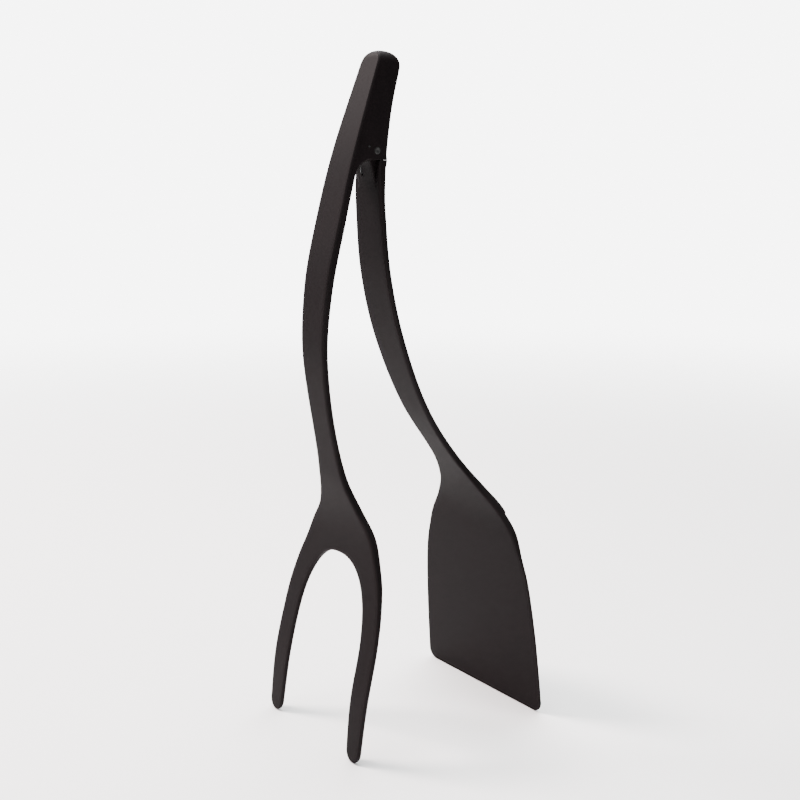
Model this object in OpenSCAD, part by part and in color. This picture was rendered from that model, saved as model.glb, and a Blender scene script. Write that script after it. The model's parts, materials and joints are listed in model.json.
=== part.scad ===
// Hand tongs with a two-tine fork on one arm and a flat turner blade on the other.
// +Z runs up to the head, the fork is on -X, the blade is on +X, and the tongs stand on Z = 0.

/* [Overall] */
// Height from the tine tips to the top of the head
overall_h = 287; // [240:1:345]
// Depth of the hinge axis below the top of the head
hinge_drop = 40; // [34:1:46]
// Distance from the hinge axis out to the outer face of the tine tips
fork_out = 30; // [24:1:36]
// Distance from the hinge axis out to the back of the blade's straight edge
blade_out = 65.8; // [54:0.2:79]

/* [Arms] */
// Width of the fork arm where the hand holds it
fork_arm_w = 18.8; // [17:0.2:22.6]
// Width of the blade arm where the hand holds it
blade_arm_w = 20.2; // [17:0.2:24.2]
// Width of both arms at the neck, above the fork and the blade
neck_w = 14.6; // [12:0.2:17.6]
// Thickness of the arms and of the head's front wall
arm_t = 2.7; // [2.3:0.1:3.3]
// Height of the necks above the tine tips
neck_h = 90; // [75:1:108]
// How far the fork arm bows out from the hinge axis at the grip
grip_bow = 26.8; // [22.4:0.2:32]
// How far the outer face of the fork arm stands out from the hinge axis at the neck
fork_neck_out = 14.4; // [12:0.2:17.2]

/* [Fork] */
// Width across both tines
fork_w = 74; // [62:0.2:88]
// Height of the crotch between the tines
crotch_h = 79; // [66:1:82]
// Width of the gap between the tine tips
tine_gap = 54.4; // [46:0.2:57]
// Thickness of the tines
tine_t = 2; // [1.6:0.1:2.4]
// Thickness of the fork's neck
fork_root_t = 3.8; // [3.2:0.1:4.6]

/* [Blade] */
// Width of the blade's straight edge
blade_w = 83; // [70:0.2:99]
// Thickness of the blade at its edge
blade_t = 1.3; // [1:0.1:1.6]
// Thickness of the blade's root, above the step on its back
blade_root_t = 4.6; // [3.8:0.1:5.6]
// Height of the step on the blade's back, where it is lowest
step_h = 86; // [80:1:90]
// Radius of the blade's two lower corners
corner_r = 5; // [3:0.5:8]

/* [Head] */
// Width of the head near its top
head_w = 14.6; // [12.6:0.2:16.4]
// Depth of the head's side faces at the top
head_d = 13.8; // [11.8:0.2:15]
// Distance from the hinge axis to the back of the head
hinge_back = 5; // [4.7:0.1:5.7]
// Thickness of the head's two cheeks
cheek_t = 2.2; // [1.8:0.1:2.6]
// Depth of the cheeks below the hinge axis
cheek_drop = 3.7; // [3.4:0.1:4.4]
// Thickness of the wall that closes the back of the head
back_t = 2; // [1.6:0.1:2.4]
// Radius of the head's rounded top, at the back
top_r = 6; // [5:0.5:7]

/* [Hinge] */
// Radius of the hinge pin
pin_r = 1.5; // [1.2:0.05:1.6]
// Radial clearance between the hinge pin and the knuckle
pin_clearance = 0.05; // [0.02:0.01:0.1]
// Clearance between the knuckle and the cheeks, on each side
side_clearance = 0.25; // [0.2:0.05:0.4]
// Angle that the blade arm closes through
close_angle = 21; // [18:0.5:22]

/* [Spring] */
// Diameter of the spring wire
wire_d = 0.9; // [0.7:0.05:1]
// Full turns of the coil, before the last part of a turn
coil_turns = 5; // [4:1:5]
// Distance from the hinge axis to the hook that holds the spring in the cheek
hook_r = 4.2; // [4:0.1:4.6]

/* [Hidden] */

$fn = 48;
facet = 6;                                // length of one flat along a curved face
wide = 200;                               // wider than the whole object
edge_spare = 1;                           // drawn below Z = 0 and cut off flat

hinge_z = overall_h - hinge_drop;
hinge_x = (fork_out - blade_out) / 2;     // puts the middle of the span at X = 0
face_top = 0.365 * hinge_drop - 11.2;     // the head's front face at its top, from the hinge axis
crest_x = head_d - 0.9 - top_r;           // middle of the round on the head's back corner, from the hinge axis
hinge_y = fork_arm_w / 2 - 0.8;           // half width of the head at the hinge axis
pocket_y = hinge_y - cheek_t;
knuckle_y = pocket_y - side_clearance;
nylon = "#2b2728";
steel = "#b9babd";

// ---------- curves through stations ----------

// Slope of the curve at station i of a list of [position, value]
function slope(st, i) =
    let (a = max(i - 1, 0), b = min(i + 1, len(st) - 1))
    (st[b][1] - st[a][1]) / (st[b][0] - st[a][0]);

function span_of(st, p, i = 0) =
    (i >= len(st) - 2 || p < st[i + 1][0]) ? i : span_of(st, p, i + 1);

// Value of the smooth curve through the stations, at position p
function curve(st, p) =
    let (
        i = span_of(st, p),
        a = st[i],
        b = st[i + 1],
        h = b[0] - a[0],
        t = (p - a[0]) / h
    )
    a[1] * (1 + 2 * t) * (1 - t) ^ 2
    + b[1] * (3 - 2 * t) * t ^ 2
    + slope(st, i) * h * t * (1 - t) ^ 2
    - slope(st, i + 1) * h * (1 - t) * t ^ 2;

// Evenly spaced positions from low to high, about one facet apart
function steps(low, high) =
    let (n = ceil((high - low) / facet))
    [for (i = [0 : n]) low + (high - low) * i / n];

// The point a distance t to the right of the curve, square to it, at height z
function beside(st, z, t) =
    let (
        lean = (curve(st, z + 0.5) - curve(st, z - 0.5)),
        long = sqrt(1 + lean ^ 2)
    )
    [curve(st, z) + t / long, z - t * lean / long];

function arc(centre, r, from, to, n = 8) =
    [for (i = [0 : n]) centre + r * [cos(from + (to - from) * i / n), sin(from + (to - from) * i / n)]];

function reversed(list) = [for (i = [len(list) - 1 : -1 : 0]) list[i]];

function mirrored(half) = concat(half, [for (p = reversed(half)) [-p[0], p[1]]]);

// ---------- side view: heights and distances out along X ----------

arm_h = hinge_z - neck_h;                 // from the necks up to the hinge axis

// Outer face of the fork arm, as [height, X]
fork_face = [for (s = [
    [0, fork_out],
    [neck_h * 0.28, fork_out - 3.4],
    [neck_h * 0.56, fork_out - 9.2],
    [neck_h * 0.84, fork_neck_out + 1.2],
    [neck_h * 1.04, fork_neck_out],
    [neck_h + arm_h * 0.16, fork_neck_out + 5],
    [neck_h + arm_h * 0.46, grip_bow],
    [neck_h + arm_h * 0.65, grip_bow - 1.6],
    [hinge_z - 27, grip_bow - 7.9],
    [hinge_z, 11.2],
    [overall_h, -face_top]
]) [s[0], hinge_x - s[1]]];

// Thickness of the fork arm, from the tine tips to the head
fork_thick = [
    [0, tine_t],
    [crotch_h - 20, tine_t + 0.2],
    [neck_h, fork_root_t],
    [neck_h + 40, arm_t],
    [hinge_z - 30, arm_t + 0.9],
    [overall_h, arm_t + 0.3]
];

// Inner face of the blade and its arm, as [height, X]
blade_in = blade_out - blade_t;
blade_face = [for (s = [
    [0, blade_in],
    [neck_h * 0.44, blade_in - 3.5],
    [neck_h * 0.83, blade_in - 7.3],
    [neck_h, blade_in - 10.2],
    [neck_h + arm_h * 0.1, blade_in - 18.6],
    [neck_h + arm_h * 0.3, blade_in * 0.375],
    [neck_h + arm_h * 0.5, 10.4],
    [neck_h + arm_h * 0.68, 3.3],
    [hinge_z - 22, hinge_back - 3.6],
    [hinge_z - 8, hinge_back - 1.1 - arm_t],
    [hinge_z + 6, hinge_back + 0.7 - arm_t]
]) [s[0], hinge_x + s[1]]];

// Thickness of the blade arm, from the edge of the blade up
blade_thick = [
    [0, blade_t],
    [neck_h * 0.75, blade_t + 0.3],
    [neck_h * 0.92, blade_root_t * 0.76],
    [neck_h * 1.06, blade_root_t * 0.78],
    [neck_h + 40, arm_t],
    [hinge_z - 24, arm_t],
    [hinge_z - 8, arm_t + 0.9],
    [overall_h, arm_t + 0.9]
];

// Back of the head and of the blade arm below it
back_face = [for (s = [
    [hinge_z - 14, hinge_back - 1.25],
    [hinge_z, hinge_back],
    [hinge_z + 17, hinge_back + 3.1],
    [overall_h - top_r, head_d - 0.9]
]) [s[0], hinge_x + s[1]]];

// A band of even or changing thickness to the right of a face
function band(face, thick, low, high) =
    concat(
        [for (z = steps(low, high)) [curve(face, z), z]],
        reversed([for (z = steps(low, high)) beside(face, z, curve(thick, z))])
    );

// ---------- front view: half widths ----------

fork_half = [
    [0, fork_w / 2 - 0.9],
    [neck_h * 0.38, fork_w / 2],
    [neck_h * 0.62, fork_w / 2 - 1.3],
    [neck_h * 0.78, fork_w / 2 - 5],
    [neck_h * 0.9, fork_w / 2 - 10.2],
    [neck_h, (fork_w + neck_w) / 4],
    [neck_h * 1.11, neck_w / 2 + 7.1],
    [neck_h * 1.25, neck_w / 2 + 1.9],
    [neck_h + arm_h * 0.28, neck_w / 2],
    [neck_h + arm_h * 0.48, neck_w / 2 + 0.9],
    [neck_h + arm_h * 0.75, fork_arm_w / 2],
    [hinge_z, hinge_y],
    [hinge_z + hinge_drop * 0.6, head_w / 2],
    [overall_h, head_w / 2 - 0.9]
];

// The gap between the tines: nearly straight sides up to gap_low, and a full round above it
gap_low = crotch_h * 0.45;
gap_taper = 1.5;
function gap_half(z) = tine_gap / 2 - gap_taper + gap_taper * (1 - z / gap_low) ^ 2;

blade_half = [
    [0, blade_w / 2],
    [neck_h * 0.22, blade_w / 2 - 0.7],
    [neck_h * 0.44, blade_w / 2 - 2],
    [neck_h * 0.67, blade_w / 2 - 4.7],
    [neck_h * 0.8, blade_w / 2 - 8.2],
    [neck_h * 0.91, blade_w / 2 - 12.6],
    [neck_h * 1.02, (blade_w + neck_w) / 4 - 3.2],
    [neck_h * 1.13, neck_w / 2 + 6],
    [neck_h * 1.28, neck_w / 2 + 0.5],
    [neck_h + arm_h * 0.32, neck_w / 2 + 1.3],
    [neck_h + arm_h * 0.51, blade_arm_w / 2 - 0.2],
    [neck_h + arm_h * 0.7, blade_arm_w / 2],
    [hinge_z - 20, (blade_arm_w + 2 * hinge_y) / 4 + 0.2],
    [hinge_z, hinge_y]
];

tine_r = (curve(fork_half, 4) - gap_half(4)) / 2;
tine_y = (curve(fork_half, 4) + gap_half(4)) / 2;

// An outline in the front view, from a list of half widths
function outline(half, low, high, inset = 0) =
    mirrored([for (z = steps(low, high)) [curve(half, z) - inset, z]]);

// Extrudes an X-Z shape along Y, between two Y positions
module side(from = -wide / 2, to = wide / 2) {
    translate([0, to, 0])
        rotate([90, 0, 0])
            linear_extrude(to - from)
                children();
}

// Extrudes a Y-Z shape right through the object along X
module front() {
    translate([-wide / 2, 0, 0])
        rotate([90, 0, 90])
            linear_extrude(wide)
                children();
}

// A point given from the hinge axis
function from_hinge(x, z) = [hinge_x + x, hinge_z + z];

// ---------- fork arm and head ----------

module fork_outline() {
    crown_z = overall_h - crown_r;
    full = 2 / 2.4;                       // makes the round squarer than an ellipse
    difference() {
        polygon(mirrored(concat(
            [for (z = steps(tine_r, crown_z)) [curve(fork_half, z), z]],
            arc([curve(fork_half, crown_z) - crown_r, crown_z], crown_r, 0, 90, 5)
        )));
        polygon(mirrored(concat(
            [for (z = steps(-edge_spare, gap_low)) [gap_half(z), z]],
            [for (a = [7 : 7 : 84])
                [gap_half(gap_low) * cos(a) ^ full, gap_low + (crotch_h - gap_low) * sin(a) ^ full]]
        )));
    }
    for (y = [-tine_y, tine_y])
        translate([y, tine_r])
            circle(tine_r);
}

nose_lean = 20;                           // lean of the head's front face, in degrees
nose_room = crest_x - face_top;           // from the face's top edge back to the middle of the crest's round
nose_r = min(4, nose_room / (1 / cos(nose_lean) - tan(nose_lean)));
crown_r = 6;                              // the head's top corners, seen from the front
web_r = 9;                                // round where a cheek runs into the front wall
web_z = hinge_z - cheek_drop - web_r;     // bottom of that round, on the wall's inner face
wall_t = curve(fork_thick, web_z);
web_x = beside(fork_face, web_z, wall_t)[0] + web_r - 0.3;
pocket_low = web_z + web_r * 0.2;         // the arm's band ends here and the pocket begins

module head_side() {
    web = arc([web_x, web_z], web_r, 90, 180);
    polygon(concat(
        [for (z = steps(web_z - 4, overall_h - nose_r)) [curve(fork_face, z), z]],
        arc(
            [curve(fork_face, overall_h - nose_r) + nose_r / cos(nose_lean), overall_h - nose_r],
            nose_r, 180 - nose_lean, 90, 8
        ),
        arc([hinge_x + crest_x, overall_h - top_r], top_r, 90, 0),
        reversed([for (z = steps(hinge_z - cheek_drop, overall_h - top_r - 1)) [curve(back_face, z), z]]),
        web
    ));
}

pocket_top = overall_h - 8;
heel_h = 4.2;                             // top of the knuckle's heel above the hinge axis
heel_gap = 0.4;

// The hollow between the cheeks, open at the bottom and behind the knuckle
module pocket() {
    intersection() {
        side()
            polygon(concat(
                [for (z = steps(pocket_low, pocket_top)) beside(fork_face, z, wall_t)],
                [for (z = reversed(steps(hinge_z + heel_h + heel_gap, pocket_top))) [curve(back_face, z) - back_t, z]],
                [
                    from_hinge(wide, heel_h + heel_gap),
                    [wide, beside(fork_face, pocket_low, wall_t)[1]]
                ]
            ));
        front()
            polygon(outline(fork_half, hinge_z - 40, overall_h, cheek_t));
    }
}

module across(x, z, r, low = -wide / 2, high = wide / 2) {
    translate([x, high, z])
        rotate([90, 0, 0])
            cylinder(r = r, h = high - low);
}

hook_angle = 158;                       // direction from the hinge axis to the spring's hook
hook = hook_r * [cos(hook_angle), sin(hook_angle)];
hook_clearance = 0.1;

module fork_arm() {
    color(nylon)
        difference() {
            intersection() {
                union() {
                    side()
                        polygon(band(fork_face, fork_thick, -edge_spare, pocket_low));
                    side()
                        head_side();
                }
                front()
                    fork_outline();
                translate([-wide / 2, -wide / 2, 0])
                    cube([wide, wide, overall_h]);
            }
            pocket();
            across(hinge_x, hinge_z, pin_r);
            across(hinge_x + hook[0], hinge_z + hook[1], wire_d / 2 + hook_clearance, -wide / 2, 0);
        }
}

// ---------- blade arm ----------

stop_gap = 0.2;                           // between the shoulders and the cheeks when open
land = 1.3;                               // how far from the hinge axis the stop faces begin
relief_angle = close_angle + 2;           // keeps the shoulders clear of the cheeks when closed
ear_r = 3.4;
coil_r = 2.2;                             // to the middle of the wire
coil_clearance = 0.25;
pitch = wire_d + 0.08;
seat_z = -9;                              // end of the leg that pushes the blade arm, below the axis

module blade_outline() {
    difference() {
        polygon(outline(blade_half, 0, hinge_z));
        for (m = [0, 1])
            mirror([m, 0])
                translate([curve(blade_half, corner_r / 2) - corner_r, 0])
                    difference() {
                        translate([0, -1])
                            square(corner_r + 1);
                        translate([0, corner_r])
                            circle(corner_r);
                    }
    }
}

// Everything below the shoulders, in the side view
module below_shoulders() {
    polygon([
        from_hinge(land, -cheek_drop - stop_gap),
        from_hinge(hinge_back + 30, -cheek_drop - stop_gap),
        from_hinge(wide, -hinge_z - 5),
        from_hinge(-wide, -hinge_z - 5),
        from_hinge(-wide, -cheek_drop - stop_gap - (wide + land) * tan(relief_angle))
    ]);
}

// Thick root of the blade: full at the neck, and ending in an arched step across the blade's back
module blade_root() {
    top = neck_h + 24;
    arch_r = 98;                          // radius of the step's arch
    arch_drop = 92;                       // from the step down to the middle of that arch
    intersection() {
        side()
            polygon(concat(
                [for (z = steps(step_h - 12, top)) beside(blade_face, z, blade_t / 2)],
                reversed([for (z = steps(step_h - 12, top))
                    beside(blade_face, z, min(blade_root_t, arm_t + (top - z) * 0.1))])
            ));
        front()
            difference() {
                blade_outline();
                translate([0, step_h - arch_drop])
                    circle(arch_r, $fn = 96);
            }
    }
}

flare = [
    [seat_z - 8, 0.2],
    [seat_z - 3, 0],
    [seat_z + 3, -1.6],
    [-2.6, -3.1],
    [0, -ear_r]
];

module knuckle_side() {
    translate(from_hinge(0, 0))
        circle(ear_r);
    polygon(concat(
        [for (z = [seat_z - 6 : 1.5 : 0]) from_hinge(curve(flare, z), z)],
        [from_hinge(-1, ear_r - 0.15), from_hinge(0.6, heel_h)],
        [for (z = [heel_h : -2 : seat_z - 5]) [curve(back_face, hinge_z + z), hinge_z + z]],
        [from_hinge(1.5, seat_z - 6)]
    ));
}

// The pushing leg lies in this groove; its floor runs beside the wire
module leg_groove() {
    seat = leg_seat();
    start = leg_start();
    w = wire_d / 2 + 0.12;
    side(coil_end() - w, coil_end() + w)
        polygon([
            from_hinge(start[0] + w, start[1]),
            from_hinge(seat[0] + w, seat[1]),
            from_hinge(seat[0] + w, seat[1] - 1),
            from_hinge(-12, seat[1] - 1),
            from_hinge(-12, start[1])
        ]);
}

module spatula_arm() {
    slot_y = coil_end() + wire_d / 2 + 0.3;
    color(nylon)
        difference() {
            union() {
                intersection() {
                    side()
                        polygon(band(blade_face, blade_thick, -edge_spare, hinge_z));
                    front()
                        blade_outline();
                    side()
                        below_shoulders();
                }
                intersection() {
                    blade_root();
                    translate([-wide / 2, -wide / 2, 0])
                        cube([wide, wide, hinge_z]);
                }
                side(-knuckle_y, knuckle_y)
                    knuckle_side();
            }
            across(hinge_x, hinge_z, coil_r + wire_d / 2 + coil_clearance, -slot_y, slot_y);
            translate([hinge_x - 8, -slot_y, hinge_z - 1])
                cube([9, 2 * slot_y, 8]);
            across(hinge_x, hinge_z, pin_r + pin_clearance);
            leg_groove();
        }
}

// ---------- hinge pin and spring ----------

module hinge_pin() {
    chamfer = 0.25;
    half = hinge_y;
    color(steel)
        translate([hinge_x, half, hinge_z])
            rotate([90, 0, 0])
                rotate_extrude()
                    polygon([
                        [0, 0],
                        [pin_r - chamfer, 0],
                        [pin_r, chamfer],
                        [pin_r, 2 * half - chamfer],
                        [pin_r - chamfer, 2 * half],
                        [0, 2 * half]
                    ]);
}

function unit(v) = v / norm(v);
function angle_of(v) = atan2(v[1], v[0]);

// The leg that pushes the blade arm: where it ends and where it leaves the coil
function leg_seat() = [curve(flare, seat_z) - wire_d / 2 - 0.1 + 0.55, seat_z];
function leg_turn() = angle_of(leg_seat()) - acos(coil_r / norm(leg_seat()));
function leg_start() = coil_r * [cos(leg_turn()), sin(leg_turn())];
function hook_turn() = hook_angle + acos(coil_r / hook_r);
function coil_sweep() = leg_turn() - hook_turn() + 360 * coil_turns;
function coil_end() = pitch * coil_sweep() / 360 / 2;

// Middle line of the wire, from the hook in the cheek, round the coil, to the end of the leg
bend_r = 0.7;
hook_in = unit(hook - coil_r * [cos(hook_turn()), sin(hook_turn())]);
wire_line = concat(
    [for (y = [-hinge_y + 0.1, -coil_end() - bend_r]) [hook[0], y, hook[1]]],
    [for (a = [30, 60, 90])
        let (p = hook - hook_in * bend_r * (1 - cos(a)))
        [p[0], -coil_end() - bend_r * (1 - sin(a)), p[1]]],
    [for (a = [0 : 18 : coil_sweep()])
        let (turn = hook_turn() + a)
        [coil_r * cos(turn), -coil_end() + pitch * a / 360, coil_r * sin(turn)]],
    [
        [leg_start()[0], coil_end(), leg_start()[1]],
        [leg_seat()[0], coil_end(), leg_seat()[1]]
    ]
);

// A ring of the wire's surface: square to the line, and turned to face the hinge axis
wire_sides = 8;
function ring(i) =
    let (
        a = wire_line[max(i - 1, 0)],
        b = wire_line[min(i + 1, len(wire_line) - 1)],
        t = unit(b - a),
        out = [wire_line[i][0], 0, wire_line[i][2]],
        u = unit(out - (out * t) * t),
        v = cross(t, u)
    )
    [for (k = [0 : wire_sides - 1])
        wire_line[i] + wire_d / 2 * (u * cos(360 * k / wire_sides) + v * sin(360 * k / wire_sides))];

module torsion_spring() {
    n = len(wire_line);
    color(steel)
        translate([hinge_x, 0, hinge_z])
            polyhedron(
                points = [for (i = [0 : n - 1]) each ring(i)],
                faces = concat(
                    [[for (k = [0 : wire_sides - 1]) k]],
                    [for (i = [0 : n - 2], k = [0 : wire_sides - 1])
                        let (a = i * wire_sides, next = (k + 1) % wire_sides)
                        each [
                            [a + k, a + wire_sides + k, a + next],
                            [a + next, a + wire_sides + k, a + wire_sides + next]
                        ]],
                    [[for (k = [wire_sides - 1 : -1 : 0]) (n - 1) * wire_sides + k]]
                ),
                convexity = 10
            );
}

fork_arm();
spatula_arm();
hinge_pin();
torsion_spring();
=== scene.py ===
"""Fork and turner kitchen tongs on a pale studio floor.
Two satin nylon mouldings, a steel hinge pin and a torsion spring."""
import json
import math

import bmesh
import bpy
import numpy as np
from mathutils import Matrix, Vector
from mathutils.geometry import delaunay_2d_cdt


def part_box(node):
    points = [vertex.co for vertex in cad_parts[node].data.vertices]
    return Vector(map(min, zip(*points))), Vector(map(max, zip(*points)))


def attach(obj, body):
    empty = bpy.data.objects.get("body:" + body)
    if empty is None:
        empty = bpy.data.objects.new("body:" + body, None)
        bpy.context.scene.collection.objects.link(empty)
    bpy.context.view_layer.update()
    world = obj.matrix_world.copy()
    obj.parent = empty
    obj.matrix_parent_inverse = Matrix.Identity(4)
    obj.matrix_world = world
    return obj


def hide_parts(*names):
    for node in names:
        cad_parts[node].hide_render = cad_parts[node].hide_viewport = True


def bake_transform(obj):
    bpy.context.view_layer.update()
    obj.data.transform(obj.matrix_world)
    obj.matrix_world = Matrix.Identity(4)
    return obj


bl_info = {
    "name": "Fork and Turner Tongs",
    "version": (1, 0, 0),
    "blender": (4, 5, 0),
    "location": "3D View > Sidebar > Tongs",
    "description": "Builds moulded kitchen tongs around their packed frame",
    "category": "Add Mesh",
}

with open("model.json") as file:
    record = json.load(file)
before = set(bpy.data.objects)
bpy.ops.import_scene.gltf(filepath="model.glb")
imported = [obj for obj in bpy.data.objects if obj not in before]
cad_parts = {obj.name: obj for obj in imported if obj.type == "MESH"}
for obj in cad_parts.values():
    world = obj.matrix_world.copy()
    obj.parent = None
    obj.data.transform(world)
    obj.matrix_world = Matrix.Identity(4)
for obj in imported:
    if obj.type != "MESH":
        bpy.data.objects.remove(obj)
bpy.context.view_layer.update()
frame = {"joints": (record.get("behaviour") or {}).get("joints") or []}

MM = 0.001
HINGE = Vector(frame["joints"][0]["pos_m"])
FORK_LOW, FORK_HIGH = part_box("fork_arm")
BLADE_LOW, BLADE_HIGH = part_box("spatula_arm")
PIN_LOW, PIN_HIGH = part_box("hinge_pin")
TOP = FORK_HIGH.z
FORK_OUT = HINGE.x - FORK_LOW.x           # from the hinge axis out to the tine tips
BLADE_OUT = BLADE_HIGH.x - HINGE.x        # from the hinge axis out to the blade's edge
HEAD_HALF = PIN_HIGH.y                    # half width of the head at the hinge axis
PIN_R = (PIN_HIGH.x - PIN_LOW.x) / 2
CRISP_R = 0.08 * MM                       # round of the edges where the two arms meet
STOP_GAP = 0.04 * MM                      # seam between the cheeks and the shoulders under them
CUT = 20 * MM                             # how far a cutting cylinder runs to each side


# ---------- sizes and colours that a user would change ----------

def length(name, description, default):
    return bpy.props.FloatProperty(
        name=name, description=description, default=default, unit="LENGTH", precision=5)


def colour(name, description, default):
    return bpy.props.FloatVectorProperty(
        name=name, description=description, default=default, subtype="COLOR", size=3, min=0, max=1)


class TongsSizes(bpy.types.PropertyGroup):
    neck_h: length("Neck height", "Height of the necks above the tine tips", 90 * MM)
    neck_w: length("Neck width", "Width of both arms above the fork and the blade", 14.6 * MM)
    fork_grip_w: length("Fork grip", "Width of the fork arm where the hand holds it", 18.8 * MM)
    blade_grip_w: length("Blade grip", "Width of the blade arm where the hand holds it", 20.2 * MM)
    grip_bow: length("Grip bow", "How far the fork arm bows out from the hinge axis", 26.8 * MM)
    fork_neck_out: length("Fork neck", "How far the fork's neck stands out from the hinge axis", 14.4 * MM)
    arm_t: length("Arm thickness", "Thickness of the arms and of the head's front wall", 2.7 * MM)
    fork_w: length("Fork width", "Width across both tines", FORK_HIGH.y - FORK_LOW.y)
    crotch_h: length("Crotch height", "Height of the crotch between the tines", 79 * MM)
    tine_gap: length("Tine gap", "Width of the gap between the tine tips", 54.4 * MM)
    tine_t: length("Tine thickness", "Thickness of the tines", 2 * MM)
    fork_root_t: length("Fork root", "Thickness of the fork's neck", 3.8 * MM)
    blade_w: length("Blade width", "Width of the blade's straight edge", 83 * MM)
    blade_t: length("Blade thickness", "Thickness of the blade at its edge", 1.3 * MM)
    blade_root_t: length("Blade root", "Thickness of the blade's root", 4.6 * MM)
    step_h: length("Step height", "Height of the step on the blade's back", 86 * MM)
    corner_r: length("Blade corners", "Radius of the blade's two lower corners", 5 * MM)
    head_w: length("Head width", "Width of the head near its top", 14.6 * MM)
    cheek_t: length("Cheek thickness", "Thickness of the head's two cheeks", 2.2 * MM)
    cheek_drop: length("Cheek depth", "Depth of the cheeks below the hinge axis", 3.7 * MM)
    wire_d: length("Spring wire", "Diameter of the spring wire", 0.9 * MM)
    edge_r: length("Edge round", "Radius of the moulded edges", 0.95 * MM)


class TongsFinishes(bpy.types.PropertyGroup):
    nylon: colour("Nylon", "Colour of the moulded nylon", (0.0062, 0.0046, 0.0050))
    # Lighter nylon for rounded edges and scuffs: partly wear, partly a painted highlight along the edges.
    nylon_rub_and_highlight: colour("Rubbed and highlit nylon", "Colour painted on the nylon's rounded edges and scuffs, partly wear and partly painted highlight", (0.018, 0.015, 0.0155))
    steel: colour("Pin steel", "Colour of the blackened steel pin", (0.055, 0.055, 0.055))
    wire: colour("Spring wire", "Colour of the drawn spring wire", (0.06, 0.06, 0.062))
    floor: colour("Floor", "Colour of the studio floor", (0.86, 0.86, 0.86))


# ---------- curves and paths ----------

def slope(stations, i):
    """Slope of the curve at station i of a list of (position, value)."""
    a, b = max(i - 1, 0), min(i + 1, len(stations) - 1)
    return (stations[b][1] - stations[a][1]) / (stations[b][0] - stations[a][0])


def curve(stations, p):
    """Value of the smooth curve through the stations, at position p."""
    i = 0
    while i < len(stations) - 2 and p >= stations[i + 1][0]:
        i += 1
    (low, a), (high, b) = stations[i], stations[i + 1]
    h = high - low
    t = (p - low) / h
    return (a * (1 + 2 * t) * (1 - t) ** 2 + b * (3 - 2 * t) * t ** 2
            + slope(stations, i) * h * t * (1 - t) ** 2
            - slope(stations, i + 1) * h * (1 - t) * t ** 2)


def lean(stations, p):
    """How far the curve moves sideways for each unit of height."""
    return (curve(stations, p + 0.5 * MM) - curve(stations, p - 0.5 * MM)) / MM


def smooth(t):
    t = min(max(t, 0.0), 1.0)
    return t * t * (3 - 2 * t)


def steps(low, high, apart):
    """Evenly spaced positions from low to high, both included, in either direction."""
    n = max(1, math.ceil(abs(high - low) / apart))
    return [low + (high - low) * i / n for i in range(n + 1)]


def arc(centre, r, start, end, n=10):
    angles = [math.radians(start + (end - start) * i / n) for i in range(n + 1)]
    return [(centre[0] + r * math.cos(a), centre[1] + r * math.sin(a)) for a in angles]


def walk(points, spacing):
    """Points along a polyline, as far apart as spacing says at each place."""
    marks = [0.0]
    for a, b in zip(points, points[1:]):
        marks.append(marks[-1] + math.dist(a, b))
    found = [points[0]]
    at = 0.0
    while True:
        step = spacing(*found[-1])
        at += step
        if at > marks[-1] - 0.6 * step:
            break
        found.append((float(np.interp(at, marks, [p[0] for p in points])),
                      float(np.interp(at, marks, [p[1] for p in points]))))
    return found + [points[-1]]


def mirrored(half):
    """A path that ends on the middle line, carried on to its mirror image."""
    return half + [(-y, z) for y, z in reversed(half[:-1])]


def inward(path, closed=False):
    """Unit normals to the right of a path, which is the side that the material is on."""
    n = len(path)
    found = []
    for i in range(n):
        a = path[(i - 1) % n] if closed or i > 0 else path[0]
        b = path[(i + 1) % n] if closed or i < n - 1 else path[-1]
        d = Vector((b[0] - a[0], b[1] - a[1])).normalized()
        found.append(Vector((d.y, -d.x)))
    return found


# ---------- the shape of the tongs ----------

ARCH_R = 98 * MM                          # radius of the arched step on the blade's back
ARCH_DROP = 92 * MM                       # from the step down to the middle of its arch


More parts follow.
